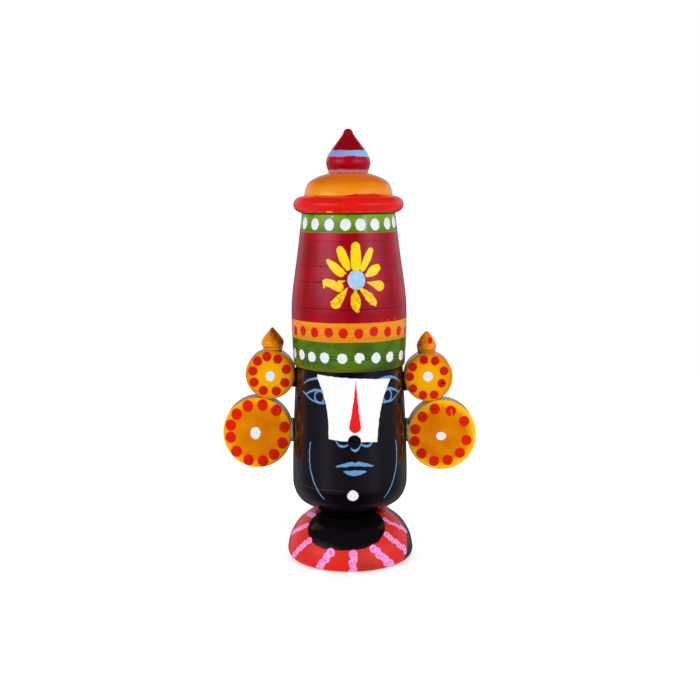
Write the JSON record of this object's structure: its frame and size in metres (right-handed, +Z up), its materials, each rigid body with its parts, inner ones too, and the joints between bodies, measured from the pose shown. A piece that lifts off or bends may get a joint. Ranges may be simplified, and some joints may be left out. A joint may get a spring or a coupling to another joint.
{
  "type": "lacquered wooden face idol",
  "caption": "Turned wooden face idol: black head on a domed base, tall banded crown with a pointed cap, and stacked earring discs pegged to each side.",
  "frame": {"origin": "middle of the base's flat underside, on which the idol stands", "axes": "+Z up along the turning axis, the painted face looks along -Y, +X to the right as seen from the front"},
  "size_m": [0.106, 0.0534, 0.18],
  "materials": {
    "base_lacquer": "black lacquer overpainted with a red garland and pink dabs, glossy",
    "head_lacquer": "glossy black lacquer with a brush-painted face and white mark",
    "crown_lacquer": "glossy maroon, green and orange lacquer bands with painted dots and a flower",
    "cap_lacquer": "glossy translucent orange lacquer, red ring and maroon finial",
    "disc_lacquer": "translucent golden lacquer with painted red and white dabs, satin gloss",
    "bud_lacquer": "translucent amber lacquer, satin gloss",
    "peg_lacquer": "black lacquer"
  },
  "bodies": {
    "root": {"base": "base_lacquer", "head": "head_lacquer", "crown": "crown_lacquer", "crown_cap": "cap_lacquer", "earring_disc_large_left": "disc_lacquer", "earring_disc_small_left": "disc_lacquer", "earring_bud_left": "bud_lacquer", "peg_lower_left": "peg_lacquer", "peg_upper_left": "peg_lacquer", "earring_disc_large_right": "disc_lacquer", "earring_disc_small_right": "disc_lacquer", "earring_bud_right": "bud_lacquer", "peg_lower_right": "peg_lacquer", "peg_upper_right": "peg_lacquer"}
  },
  "joints": []
}
